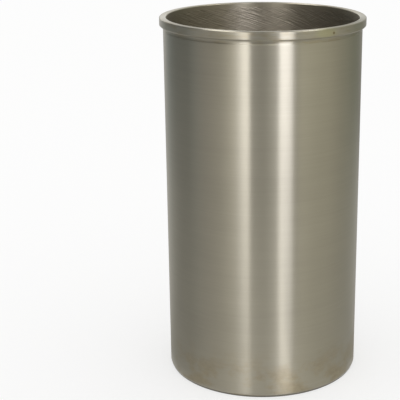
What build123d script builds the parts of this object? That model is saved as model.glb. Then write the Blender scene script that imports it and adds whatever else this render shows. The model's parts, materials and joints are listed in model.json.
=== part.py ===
from build123d import *
import os

# A dry cylinder liner: a thin-walled turned tube that is pressed down into the bore of an engine
# block until its flange seats in the counterbore at the top. The piston runs in its honed bore.
# It stands on its foot with +Z up along the bore, and the origin is the centre of the foot's face.

# Driving dimensions, in millimetres
length = 179.0           # from the foot to the rim
bore_diameter = 93.0     # honed bore for the piston and its rings
wall = 1.5               # from the bore to the ground barrel
flange_overhang = 1.75   # from the barrel out to the flange's edge
flange_height = 4.1      # from the seat up to the rim
rim_chamfer = 0.35       # breaks the flange's upper corner
seat_chamfer = 0.5       # breaks the flange's lower corner
relief_width = 2.1       # grinding relief, a shallow round groove under the seat
relief_depth = 0.28
lead_in_height = 1.5     # steep taper round the foot that finds the block's bore
lead_in_depth = 0.6
mouth_chamfer = 0.3      # eases the piston rings into the bore
foot_chamfer = 0.3       # breaks the bore's lower corner

# Sizes that follow from them
bore_radius = bore_diameter / 2
barrel_radius = bore_radius + wall
flange_radius = barrel_radius + flange_overhang
seat_level = length - flange_height
lead_in = min(lead_in_depth, wall / 2)
foot_break = min(foot_chamfer, wall / 4)


def grinding_relief():
    """The groove that lets the grinding wheel run out under the seat, from its low corner up to the seat."""
    low_corner = (barrel_radius, seat_level - relief_width)
    floor = (barrel_radius - relief_depth, seat_level - relief_width / 2)
    seat_corner = (barrel_radius, seat_level)
    return ThreePointArc(low_corner, floor, seat_corner)


def turned_outline(relief):
    """The rest of the wall's outline, up over the flange, down the bore and out under the foot."""
    return Polyline(
        relief @ 1,
        (flange_radius - seat_chamfer, seat_level),
        (flange_radius, seat_level + seat_chamfer),
        (flange_radius, length - rim_chamfer),
        (flange_radius - rim_chamfer, length),
        (bore_radius + mouth_chamfer, length),
        (bore_radius, length - mouth_chamfer),
        (bore_radius, foot_break),
        (bore_radius + foot_break, 0),
        (barrel_radius - lead_in, 0),
        (barrel_radius, lead_in_height),
        relief @ 0,
    )


def make_liner():
    """The half section of the wall, turned once round the bore's axis."""
    with BuildPart() as turned:
        with BuildSketch(Plane.XZ):
            with BuildLine():
                turned_outline(grinding_relief())
            make_face()
        revolve(axis=Axis.Z)
    return turned.part


liner = make_liner()
liner.label = "liner"

os.makedirs("parts", exist_ok=True)
export_step(liner, "parts/liner.step")
print(f"liner: {liner.volume / 1000:.1f} cm3 of metal, {2 * flange_radius:.1f} mm across the flange")
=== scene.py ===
import json
import math

import bpy
from mathutils import Matrix, Vector


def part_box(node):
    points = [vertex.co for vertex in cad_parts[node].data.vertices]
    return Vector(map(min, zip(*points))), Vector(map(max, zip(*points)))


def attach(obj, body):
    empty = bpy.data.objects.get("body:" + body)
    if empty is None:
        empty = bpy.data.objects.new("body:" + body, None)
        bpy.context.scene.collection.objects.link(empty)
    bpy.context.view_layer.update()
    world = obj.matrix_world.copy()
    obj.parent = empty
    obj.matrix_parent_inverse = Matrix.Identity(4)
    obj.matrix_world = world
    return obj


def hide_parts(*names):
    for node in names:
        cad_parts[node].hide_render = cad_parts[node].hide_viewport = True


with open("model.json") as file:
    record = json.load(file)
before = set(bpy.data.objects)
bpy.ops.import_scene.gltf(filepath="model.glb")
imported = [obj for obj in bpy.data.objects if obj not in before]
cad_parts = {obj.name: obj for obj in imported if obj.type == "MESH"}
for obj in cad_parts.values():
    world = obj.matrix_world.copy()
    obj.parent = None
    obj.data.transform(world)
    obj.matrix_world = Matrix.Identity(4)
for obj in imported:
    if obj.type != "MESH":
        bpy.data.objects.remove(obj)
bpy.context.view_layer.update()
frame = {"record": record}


# The camera looks down on the standing liner from a little over half a metre away, at the angle of
# the photograph. The liner stands right of the picture's middle, which the lens makes by its shift.
picture_width = 400
bore_axis_column = 262.58
focal_length_pixels = 1124.0
camera_distance = 0.5419
camera_height = 0.2575
camera_dip = math.radians(17.56)
camera_lean = math.radians(0.07)

camera = bpy.data.objects.new("camera", bpy.data.cameras.new("camera"))
bpy.context.scene.collection.objects.link(camera)
bpy.context.scene.camera = camera
camera.data.lens = focal_length_pixels / picture_width * camera.data.sensor_width
camera.data.shift_x = 0.5 - bore_axis_column / picture_width
camera.matrix_world = (
    Matrix.Translation((0, -camera_distance, camera_height))
    @ Matrix.Rotation(math.pi / 2 - camera_dip, 4, "X")
    @ Matrix.Rotation(camera_lean, 4, "Z")
)
bpy.context.scene.view_settings.view_transform = "Standard"


# The table is a wide sheet of white board under the liner. The world behind it is the same white.
# Both look white to the camera and in the metal, and the board keeps the liner's soft shadow.
class Wire:
    """An output socket of a node tree. Arithmetic on wires adds the Math nodes that work it out."""

    def __init__(self, tree, socket=None):
        self.tree = tree
        self.socket = socket

    def node(self, kind, settings=None, inputs=None, output=0):
        """Adds a node, makes its settings first, fills its sockets and returns the wire of one output."""
        made = self.tree.nodes.new(kind)
        for name, value in (settings or {}).items():
            if name == "stops":
                self.set_stops(made.color_ramp, value)
            else:
                setattr(made, name, value)
        for name, value in (inputs or {}).items():
            socket = made.inputs[name]
            if isinstance(value, Wire):
                self.tree.links.new(value.socket, socket)
            else:
                socket.default_value = (*value, 1) if socket.type == "RGBA" else value
        return Wire(self.tree, made.outputs[output] if made.outputs else None)

    @staticmethod
    def set_stops(ramp, stops):
        """Gives a colour ramp these stops, each a place on it and a shade or a colour."""
        while len(ramp.elements) < len(stops):
            ramp.elements.new(1)
        for element, (position, shade) in zip(ramp.elements, stops):
            element.position = position
            element.color = (*shade, 1) if isinstance(shade, tuple) else (shade, shade, shade, 1)

    def outputs(self):
        """Wires of all the outputs of this wire's node, by their names."""
        return {socket.name: Wire(self.tree, socket) for socket in self.socket.node.outputs}

    def maths(self, operation, *values):
        return self.node("ShaderNodeMath", {"operation": operation}, dict(enumerate((self, *values))))

    def __add__(self, other):
        return self.maths("ADD", other)

    __radd__ = __add__

    def __mul__(self, other):
        return self.maths("MULTIPLY", other)

    __rmul__ = __mul__

    def __sub__(self, other):
        return self.maths("SUBTRACT", other)

    def __rsub__(self, other):
        return self.node("ShaderNodeMath", {"operation": "SUBTRACT"}, {0: other, 1: self})

    def __truediv__(self, other):
        return self.maths("DIVIDE", other)


def emptied(material_or_world):
    """Switches on a material's or world's nodes, clears them and returns a wire to start from."""
    material_or_world.use_nodes = True
    tree = material_or_world.node_tree
    tree.nodes.clear()
    return Wire(tree)


def seen(start):
    """One for rays that see a thing, straight or in metal or glass, and nought for those that light it."""
    straight = start.node("ShaderNodeLightPath", output="Is Camera Ray")
    in_metal = start.node("ShaderNodeLightPath", output="Is Glossy Ray")
    in_glass = start.node("ShaderNodeLightPath", output="Is Transmission Ray")
    return straight.maths("MAXIMUM", in_metal).maths("MAXIMUM", in_glass)


white = (1, 1, 1)
board_radius = 6.0
board_sides = 96
board_colour = (0.4, 0.4, 0.398)
board_glow = 0.58
room_light = 1.0

board_white = bpy.data.materials.new("white_board")
start = emptied(board_white)
paper = start.node("ShaderNodeBsdfDiffuse", inputs={"Color": board_colour})
glow = start.node("ShaderNodeEmission", inputs={"Color": white, "Strength": seen(start) * board_glow})
surface = start.node("ShaderNodeAddShader", inputs={0: paper, 1: glow})
start.node("ShaderNodeOutputMaterial", inputs={"Surface": surface})

bpy.ops.mesh.primitive_circle_add(vertices=board_sides, radius=board_radius, fill_type="NGON")
board = bpy.context.object
board.name = "board"
board.data.materials.append(board_white)

bpy.context.scene.world = bpy.data.worlds.new("white_room")
start = emptied(bpy.context.scene.world)
room = start.node("ShaderNodeBackground", inputs={"Color": white, "Strength": room_light})
start.node("ShaderNodeOutputWorld", inputs={"Surface": room})


# A screen of grey cloth closes all round the table, lit in three bands with two tall lamps at the
# front, and a sheet of paper lies inside it. The sheet glows with a painted reflection of the lit board,
# brighter under the right lamp and darker to the sides. They are there for the metal to reflect, and show
# in it
# alone: the camera looks through them, and they neither shade the board nor light it.
screen_radius = 0.45
screen_foot = 0.001
screen_height = 0.8
screen_sides = 180
middle_foot = 0.22
top_foot = 0.38
sheet_level = 0.0006
sheet_hole = 0.0505
brightest = 6.5
painted_board_tint = (1.01, 1.0, 0.96)

# Each list gives a bearing in degrees from the camera, positive to the right, and the light there.
top_screen = [
    (-180, 0.95), (-150, 0.95), (-140, 0.2), (-110, 0.1), (-60, 0.2), (-40, 0.3), (-33, 0.9),
    (-26, 1.8), (-20, 2.2), (-9, 2.4), (-6, 2), (3, 1.4), (7, 2.8), (11, 3.8), (25, 4), (32, 4.2),
    (36, 1.3), (60, 0.7), (80, 0.8), (120, 0.5), (140, 0.4), (150, 0.7), (180, 0.95),
]
middle_screen = [
    (-180, 1.3), (-174, 1.3), (-168, 0.95), (-150, 1.2), (-140, 0.3), (-120, 0.1), (-58, 0.1),
    (-44, 0.15), (-36, 0.6), (-29, 2), (-23.5, 3.9), (-20, 4.4), (-14.5, 4.4), (-13.5, 0.1),
    (0, 0.0), (12, 0.4), (17, 0.9), (18, 6.3), (25, 6), (30.5, 5.4), (32, 0.6), (40, 0.8),
    (55, 1.0), (75, 0.4), (120, 0.4), (140, 0.3), (150, 0.6), (168, 0.6), (174, 1.2), (180, 1.3),
]
low_screen = [
    (-180, 0.6), (-172, 0.6), (-166, 0.45), (-150, 0.55), (-140, 0.45), (-126, 0.3), (-112, 0.22),
    (-90, 0.25), (-75, 0.5), (-45, 0.7), (-36, 0.9), (-28, 1.1), (-23, 2.1), (-19, 3.1),
    (-14.5, 3.1), (-13.5, 0.2), (17.5, 0.2), (18.5, 2.9), (32, 2.5), (33.5, 0.35), (39, 0.4),
    (42, 0.7), (75, 0.75), (95, 0.5), (120, 0.3), (140, 0.3), (166, 0.4), (172, 0.6), (180, 0.6),
]
# The painted reflection of the lit board that the paper sheet glows with.
painted_board_light = [
    (-180, 0.7), (-150, 0.7), (-130, 0.6), (-105, 0.46), (-75, 0.48), (-40, 0.6), (-18, 0.64),
    (-9, 0.82), (5, 0.8), (15, 0.95), (17, 1.3), (21, 1.3), (23, 0.85), (35, 0.7), (55, 0.6),
    (80, 0.56), (105, 0.54), (150, 0.65), (180, 0.7),
]
# The cloth is cool at the far left and warm to the right, and the lamps in it are a little blue.
cloth_tints = [
    (-180, (1.0, 1.0, 0.96)), (-150, (1.0, 1.0, 0.98)), (-130, (0.9, 1.0, 1.02)),
    (-84, (0.9, 1.0, 1.04)), (-66, (1.02, 1.0, 0.98)), (-50, (1.03, 1.0, 0.92)),
    (-33, (1.03, 1.0, 0.92)), (-26, (1.0, 1.0, 1.03)), (-14, (1.0, 1.0, 1.03)),
    (-10, (1.0, 1.0, 0.98)), (12, (1.0, 1.0, 0.98)), (18, (0.99, 1.0, 1.09)),
    (32, (0.99, 1.0, 1.1)), (38, (1.02, 1.0, 0.84)), (90, (1.02, 1.0, 0.82)),
    (125, (0.93, 1.0, 0.8)), (150, (1.0, 1.0, 0.92)), (180, (1.0, 1.0, 0.96)),
]


def by_bearing(bearing, stops):
    """What a list says at a bearing: a brightness or a tint."""
    placed = [(0.5 + angle / 360, value) for angle, value in stops]
    return bearing.node("ShaderNodeValToRGB", {"stops": placed}, {"Fac": bearing}, "Color")


def brightness(bearing, lights):
    """The light at a bearing. A ramp holds no more than one, so it carries the share of the brightest."""
    return by_bearing(bearing, [(angle, light / brightest) for angle, light in lights]) * brightest


def glowing(start, light, tint=white):
    """Ends a material as a plain glow."""
    glow = start.node("ShaderNodeEmission", inputs={"Color": tint, "Strength": light})
    start.node("ShaderNodeOutputMaterial", inputs={"Surface": glow})


def compass(start):
    """A place's bearing from the bore's axis, which runs from nought behind it to one, and its level."""
    place = start.node("ShaderNodeTexCoord", output="Object")
    parts = start.node("ShaderNodeSeparateXYZ", inputs={"Vector": place}).outputs()
    return parts["X"].maths("ARCTAN2", parts["Y"] * -1) / math.tau + 0.5, parts["Z"]


screen_cloth = bpy.data.materials.new("lit_screen")
start = emptied(screen_cloth)
bearing, level = compass(start)
light = brightness(bearing, low_screen)
for foot, lights in ((middle_foot, middle_screen), (top_foot, top_screen)):
    above = level.maths("GREATER_THAN", foot)
    light = light + above * (brightness(bearing, lights) - light)
glowing(start, light, by_bearing(bearing, cloth_tints))

# The paper sheet glows with painted light: the board as the metal would see it lit.
painted_board_glow = bpy.data.materials.new("painted_board_glow")
start = emptied(painted_board_glow)
bearing, level = compass(start)
glowing(start, brightness(bearing, painted_board_light), painted_board_tint)


def hung(name, points, faces, material):
    """A piece of the studio that shows in metal alone."""
    mesh = bpy.data.meshes.new(name)
    mesh.from_pydata(points, [], faces)
    mesh.materials.append(material)
    piece = bpy.data.objects.new(name, mesh)
    bpy.context.scene.collection.objects.link(piece)
    piece.visible_camera = False
    piece.visible_diffuse = False
    piece.visible_shadow = False


def strip_round(*edges):
    """Points and faces of a strip round the bore's axis, between two edges given as (radius, level)."""
    angles = [math.tau * side / screen_sides for side in range(screen_sides)]
    points = [
        (radius * math.sin(angle), -radius * math.cos(angle), level)
        for angle in angles
        for radius, level in edges
    ]
    count = len(points)
    return points, [(i, i + 1, (i + 3) % count, (i + 2) % count) for i in range(0, count, 2)]


upright = strip_round((screen_radius, screen_foot), (screen_radius, screen_height))
flat = strip_round((sheet_hole, sheet_level), (screen_radius, sheet_level))
hung("screen", *upright, screen_cloth)
hung("painted_board_light", *flat, painted_board_glow)


# Overhead hang long lamps, left and right of the table, with dark cloth between them. They put the
# light along the sides of the rim, and the cloth darkens the middle of it.
left_lamp_edge = -0.22
short_lamp_edge = -0.12
short_lamp_near = 0.1
right_lamp_edge = 0.27
left_lamp_light = 4.5
short_lamp_light = 3.5
right_lamp_light = 4.3
dark_cloth_light = 0.05


def overhead(name, left, right, near, far, light):
    """One flat piece over the table, between these places across it and along it."""
    material = bpy.data.materials.new(name)
    glowing(emptied(material), light)
    corners = [(left, near), (right, near), (right, far), (left, far)]
    hung(name, [(*corner, screen_height) for corner in corners], [(0, 1, 2, 3)], material)


edge = screen_radius
overhead("overhead_left", -edge, left_lamp_edge, -edge, edge, left_lamp_light)
overhead("overhead_left_back", left_lamp_edge, short_lamp_edge, short_lamp_near, edge, short_lamp_light)
overhead("overhead_cloth", short_lamp_edge, right_lamp_edge, -edge, edge, dark_cloth_light)
overhead("overhead_cloth_left", left_lamp_edge, short_lamp_edge, -edge, short_lamp_near, dark_cloth_light)
overhead("overhead_right", right_lamp_edge, edge, -edge, edge, right_lamp_light)


# The liner is one thin ring of iron, turned from a cast tube. Its half section is the outline that
# the lathe leaves: flange, grinding relief, barrel, lead-in taper and bore, with every corner broken.
mounts = {mount["name"]: mount for mount in frame["record"]["mounts"]}
rim_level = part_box("liner")[1].z
flange_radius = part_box("liner")[1].x
bore_radius = mounts["bore"]["dims"]["r_mm"] / 1000
barrel_radius = mounts["barrel"]["dims"]["r_mm"] / 1000
seat_level = mounts["seat"]["pos_m"][2]
rim_chamfer = 0.00035
seat_chamfer = 0.0005
relief_width = 0.0021
relief_depth = 0.00028
relief_steps = 8
lead_in_height = 0.0015
lead_in_depth = 0.0006
mouth_chamfer = 0.0003
foot_chamfer = 0.0003
corner_radius = 0.00006
corner_support = 0.0003
turns = 360


def relief_arc():
    """Points round the grinding relief, from its low corner up to the seat."""
    half = relief_width / 2
    radius = (half**2 + relief_depth**2) / (2 * relief_depth)
    middle = Vector((barrel_radius + radius - relief_depth, seat_level - half))
    reach = math.asin(half / radius)
    angles = [math.pi + reach * (1 - 2 * step / relief_steps) for step in range(relief_steps + 1)]
    return [middle + radius * Vector((math.cos(angle), math.sin(angle))) for angle in angles]


def half_section():
    """The closed outline of the wall as (radius, level) points, with a point close by each corner."""
    corners = [
        (flange_radius - seat_chamfer, seat_level),
        (flange_radius, seat_level + seat_chamfer),
        (flange_radius, rim_level - rim_chamfer),
        (flange_radius - rim_chamfer, rim_level),
        (bore_radius + mouth_chamfer, rim_level),
        (bore_radius, rim_level - mouth_chamfer),
        (bore_radius, foot_chamfer),
        (bore_radius + foot_chamfer, 0),
        (barrel_radius - lead_in_depth, 0),
        (barrel_radius, lead_in_height),
    ]
    ring = [*relief_arc(), *map(Vector, corners)]
    shortest_run = 4 * corner_support
    points = []
    for here, after in zip(ring, ring[1:] + ring[:1]):
        points.append(here)
        run = after - here
        if run.length > shortest_run:
            step = run.normalized() * corner_support
            points += [here + step, after - step]
    return points


section = half_section()
outline = bpy.data.meshes.new("half_section")
outline.from_pydata(
    [(point.x - barrel_radius, -point.y, 0) for point in section],
    [(i, (i + 1) % len(section)) for i in range(len(section))],
    [],
)
liner_outline = bpy.data.objects.new("liner_outline", outline)
bpy.context.scene.collection.objects.link(liner_outline)


# The barrel is ground between centres. The wheel leaves fine lines all round it, so it mirrors sharply
# sideways and softly up and down. Handling and old oil leave it faintly blotched, and brown at the foot.
# Above the taper it is darkened towards the foot with painted shade.
iron_colour = (0.406, 0.378, 0.306)
grain_bearing = 0.25
ground_roughness = 0.32
ground_metal = 0.93
ground_depth = 0.00001
line_shade = 0.13
band_shade = 0.1
cloud_shade = 0.16
band_roughness = 0.04
# Painted shade: the barrel's colour falls to this share at the taper and is full again at this level.
foot_painted_shade = 0.92
foot_painted_shade_top = 0.0045
oil_brown = (0.375, 0.322, 0.22)
stain_patch = 0.014
stain_squat = 0.7
stain_edge = (0.42, 0.62)
stain_top = 0.03
stain_full = 0.004
stain_strength = 0.9
stain_mottle = 0.5
stain_film = 0.3
stain_roughness = 0.08


def lines_round(place, length, width, detail, seed):
    """Noise drawn out into lines round the bore's axis, each about this long and this wide in metres."""
    stretched = place.node(
        "ShaderNodeVectorMath",
        {"operation": "MULTIPLY"},
        {0: place, 1: (1 / length, 1 / length, 1 / width)},
    )
    return stretched.node(
        "ShaderNodeTexNoise",
        {"noise_dimensions": "4D"},
        {"Vector": stretched, "W": seed, "Scale": 1.0, "Detail": detail, "Roughness": 0.6},
        "Fac",
    )


def blend(factor, first, second):
    """A colour between two, by a factor from nought to one."""
    return factor.node("ShaderNodeMix", {"data_type": "RGBA"}, {0: factor, 6: first, 7: second}, 2)


def tinted(colour, shade):
    """A colour made lighter or darker by a wire about one."""
    return shade.node("ShaderNodeVectorMath", {"operation": "SCALE"}, {0: colour, "Scale": shade})


def ramp(value, low, high, at_low=0.0, at_high=1.0):
    """Carries a value smoothly from low..high to at_low..at_high, and holds it at these two beyond."""
    return value.node(
        "ShaderNodeMapRange",
        {"interpolation_type": "SMOOTHSTEP"},
        {"Value": value, "From Min": low, "From Max": high, "To Min": at_low, "To Max": at_high},
    )


def height(place):
    """The level of a place above the foot."""
    return place.node("ShaderNodeSeparateXYZ", inputs={"Vector": place}, output="Z")


ground_iron = bpy.data.materials.new("ground_iron")
start = emptied(ground_iron)
place = start.node("ShaderNodeTexCoord", output="Object")
level = height(place)
lines = lines_round(place, length=0.05, width=0.0006, detail=4.0, seed=1.0)
bands = lines_round(place, length=0.08, width=0.004, detail=2.0, seed=2.0)
clouds = lines_round(place, length=0.045, width=0.03, detail=2.0, seed=3.0)
shade = 1.0 + (lines - 0.5) * line_shade + (bands - 0.5) * band_shade + (clouds - 0.5) * cloud_shade
# Painted shade: the barrel is darker towards its foot.
shade = shade * ramp(level, lead_in_height, foot_painted_shade_top, foot_painted_shade, 1.0)
patches = lines_round(place, length=stain_patch, width=stain_patch * stain_squat, detail=5.0, seed=4.0)
mottle = lines_round(place, length=0.0025, width=0.0018, detail=3.0, seed=8.0)
stain = ramp(patches, *stain_edge) * ramp(level, stain_top, stain_full) * stain_strength
stained = tinted(oil_brown, shade + (mottle - 0.5) * stain_mottle)
bump = start.node("ShaderNodeBump", inputs={"Strength": 1.0, "Distance": ground_depth, "Height": lines})
surface = start.node(
    "ShaderNodeBsdfPrincipled",
    inputs={
        "Base Color": blend(stain, tinted(iron_colour, shade), stained),
        "Metallic": ground_metal - stain * stain_film,
        "Roughness": ground_roughness + (bands - 0.5) * band_roughness + stain * stain_roughness,
        "Anisotropic": 1.0,
        "Anisotropic Rotation": grain_bearing,
        "Normal": bump,
    },
)
start.node("ShaderNodeOutputMaterial", inputs={"Surface": surface})


# The flange, the rim, the relief and the foot's taper are finished on the lathe. The tool's marks are
# coarser than the wheel's. A film of oil has dried on the flange, with a smear and one dark speck at the
# right. The taper is darkened towards the foot with painted shade.
turned_roughness = 0.29
turned_metal = 0.8
turned_depth = 0.00001
turned_shade = 0.91
mark_shade = 0.3
blotch_shade = 0.24
# Painted shade on the taper: its colour falls to this share below the first level and is full above the
# second.
taper_painted_shade = 0.35
taper_painted_shade_full = lead_in_height * 0.2
taper_painted_shade_top = lead_in_height * 0.95
film_edge = (0.42, 0.66)
film_strength = 0.6
smear_colour = (0.45, 0.43, 0.27)
smear_bearing = math.radians(35)
smear_level = 0.1772
smear_reach = 0.0085
smear_flatness = 2.5
smear_strength = 0.75
speck_colour = (0.16, 0.12, 0.05)
speck_bearing = math.radians(40)
speck_level = 0.1768
speck_reach = 0.0009
speck_strength = 0.9
full_share = 0.3


def near_flange(place, bearing, level, reach, flatness=1.0):
    """One round a bearing and level on the flange, fading to nought at this reach from it."""
    middle = (flange_radius * math.sin(bearing), -flange_radius * math.cos(bearing), level)
    off = place.node("ShaderNodeVectorMath", {"operation": "SUBTRACT"}, {0: place, 1: middle})
    off = off.node("ShaderNodeVectorMath", {"operation": "MULTIPLY"}, {0: off, 1: (1, 1, flatness)})
    distance = off.node("ShaderNodeVectorMath", {"operation": "LENGTH"}, {0: off}, "Value")
    return ramp(distance, reach, reach * full_share)


turned_iron = bpy.data.materials.new("turned_iron")
start = emptied(turned_iron)
place = start.node("ShaderNodeTexCoord", output="Object")
level = height(place)
marks = lines_round(place, length=0.02, width=0.0005, detail=3.0, seed=5.0)
blotches = lines_round(place, length=0.02, width=0.004, detail=2.0, seed=6.0)
film = ramp(lines_round(place, length=0.008, width=0.0022, detail=3.0, seed=7.0), *film_edge)
smear = near_flange(place, smear_bearing, smear_level, smear_reach, smear_flatness)
speck = near_flange(place, speck_bearing, speck_level, speck_reach)
shade = turned_shade + (marks - 0.5) * mark_shade + (blotches - 0.5) * blotch_shade
# Painted shade: the taper is darker towards the foot.
shade = shade * ramp(level, taper_painted_shade_full, taper_painted_shade_top, taper_painted_shade, 1.0)
colour = blend(film * film_strength, tinted(iron_colour, shade), tinted(oil_brown, shade))
colour = blend(smear * smear_strength, colour, tinted(smear_colour, shade))
colour = blend(speck * speck_strength, colour, speck_colour)
bump = start.node("ShaderNodeBump", inputs={"Strength": 1.0, "Distance": turned_depth, "Height": marks})
surface = start.node(
    "ShaderNodeBsdfPrincipled",
    inputs={
        "Base Color": colour,
        "Metallic": turned_metal,
        "Roughness": turned_roughness,
        "Anisotropic": 1.0,
        "Anisotropic Rotation": grain_bearing,
        "Normal": bump,
    },
)
start.node("ShaderNodeOutputMaterial", inputs={"Surface": surface})


# The bore is honed. The stones go up and down as they turn, and leave scratches that cross at about
# forty degrees and hold oil. A narrow land under the mouth, above the stones' reach, is only bored.
hone_colour = (0.295, 0.263, 0.207)
hone_roughness = 0.4
hone_metal = 0.95
hone_depth = 0.00025
hone_angle = math.radians(20)
hone_twist = 1 / (bore_radius * math.tan(hone_angle))
hone_spread = 0.044
rising_depth = 0.6
rising_shade = 0.3
falling_shade = 0.4
streak_edge = (0.4, 0.6)
streak_share = (0.36, 0.5)
land_colour = (0.31, 0.28, 0.215)
land_height = 0.0023
land_foot = rim_level - land_height
land_fade = 0.0002


def hone_marks(place, level, side, seed):
    """Streaks of scratches that climb the bore on one hand, with no seam round it."""
    unwound = place.node(
        "ShaderNodeVectorRotate",
        {"rotation_type": "Z_AXIS"},
        {"Vector": place, "Angle": level * (side * hone_twist)},
    )
    return lines_round(unwound, length=0.0018, width=0.003, detail=0.8, seed=seed)


honed_iron = bpy.data.materials.new("honed_iron")
start = emptied(honed_iron)
place = start.node("ShaderNodeTexCoord", output="Object")
level = height(place)
rising = hone_marks(place, level, 1, seed=11.0)
falling = hone_marks(place, level, -1, seed=12.0)
reached = ramp(level, land_foot + 2 * land_fade, land_foot - land_fade)
shade = 1.0 + (rising - 0.5) * rising_shade + (falling - 0.5) * falling_shade
colour = blend(reached, land_colour, tinted(hone_colour, shade))
scratches = ((rising - 0.5) * rising_depth + (falling - 0.5)) * reached
bump = start.node("ShaderNodeBump", inputs={"Strength": 1.0, "Distance": hone_depth, "Height": scratches})


def honed(turned_by):
    """The bore's shader where scratches lie at this turn from the level."""
    return start.node(
        "ShaderNodeBsdfPrincipled",
        inputs={
            "Base Color": colour,
            "Metallic": hone_metal,
            "Roughness": hone_roughness,
            "Anisotropic": 1.0,
            "Anisotropic Rotation": grain_bearing + turned_by,
            "Normal": bump,
        },
    )


surface = honed(0.0)
for marks, turned_by in ((rising, -hone_spread), (falling, hone_spread)):
    share = ramp(marks, *streak_edge, *streak_share)
    surface = start.node("ShaderNodeMixShader", inputs={0: share, 1: surface, 2: honed(turned_by)})
start.node("ShaderNodeOutputMaterial", inputs={"Surface": surface})


# The lathe rounds the outline's corners and turns it once round the bore's axis. Then each face gets
# the finish that its place on the liner has.
same_point = 0.00001
edge_room = 0.00005

lathe = bpy.data.node_groups.new("lathe", "GeometryNodeTree")
lathe.interface.new_socket("Outline", in_out="INPUT", socket_type="NodeSocketGeometry")
sizes = {"Barrel radius": barrel_radius, "Corner radius": corner_radius, "Turns": turns}
for name, value in sizes.items():
    kind = "NodeSocketInt" if isinstance(value, int) else "NodeSocketFloat"
    lathe.interface.new_socket(name, in_out="INPUT", socket_type=kind)
lathe.interface.new_socket("Liner", in_out="OUTPUT", socket_type="NodeSocketGeometry")
start = Wire(lathe)
given = start.node("NodeGroupInput").outputs()
profile = start.node("GeometryNodeMeshToCurve", inputs={"Mesh": given["Outline"]})
profile = start.node(
    "GeometryNodeFilletCurve",
    inputs={"Curve": profile, "Radius": given["Corner radius"], "Limit Radius": True},
)
axis_circle = start.node(
    "GeometryNodeCurvePrimitiveCircle",
    inputs={"Resolution": given["Turns"], "Radius": given["Barrel radius"]},
)
ring = start.node("GeometryNodeCurveToMesh", inputs={"Curve": axis_circle, "Profile Curve": profile})
ring = start.node("GeometryNodeMergeByDistance", inputs={"Geometry": ring, "Distance": same_point})
ring = start.node("GeometryNodeFlipFaces", inputs={"Mesh": ring})
ring = start.node("GeometryNodeSetShadeSmooth", inputs={"Geometry": ring})
ring = start.node("GeometryNodeRealizeInstances", inputs={"Geometry": ring})
position = start.node("GeometryNodeInputPosition")
parts = start.node("ShaderNodeSeparateXYZ", inputs={"Vector": position}).outputs()
radius = (parts["X"] * parts["X"] + parts["Y"] * parts["Y"]).maths("SQRT")
in_bore = radius.maths("LESS_THAN", bore_radius + same_point)
below_relief = parts["Z"].maths("LESS_THAN", seat_level - relief_width)
on_barrel = radius.maths("GREATER_THAN", barrel_radius - edge_room) * below_relief
ring = start.node("GeometryNodeSetMaterial", inputs={"Geometry": ring, "Material": turned_iron})
for faces, finish in ((in_bore, honed_iron), (on_barrel, ground_iron)):
    chosen = {"Geometry": ring, "Selection": faces, "Material": finish}
    ring = start.node("GeometryNodeSetMaterial", inputs=chosen)
start.node("NodeGroupOutput", inputs={"Liner": ring})

turning = liner_outline.modifiers.new("turning", "NODES")
turning.node_group = lathe
for socket in lathe.interface.items_tree:
    if socket.name in sizes:
        turning[socket.identifier] = sizes[socket.name]
bpy.context.view_layer.update()
turned = bpy.data.meshes.new_from_object(liner_outline.evaluated_get(bpy.context.evaluated_depsgraph_get()))
turned.name = "turned_liner"
bpy.data.objects.remove(liner_outline)
liner = bpy.data.objects.new("turned_liner", turned)
bpy.context.scene.collection.objects.link(liner)
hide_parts("liner")
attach(liner, "root")
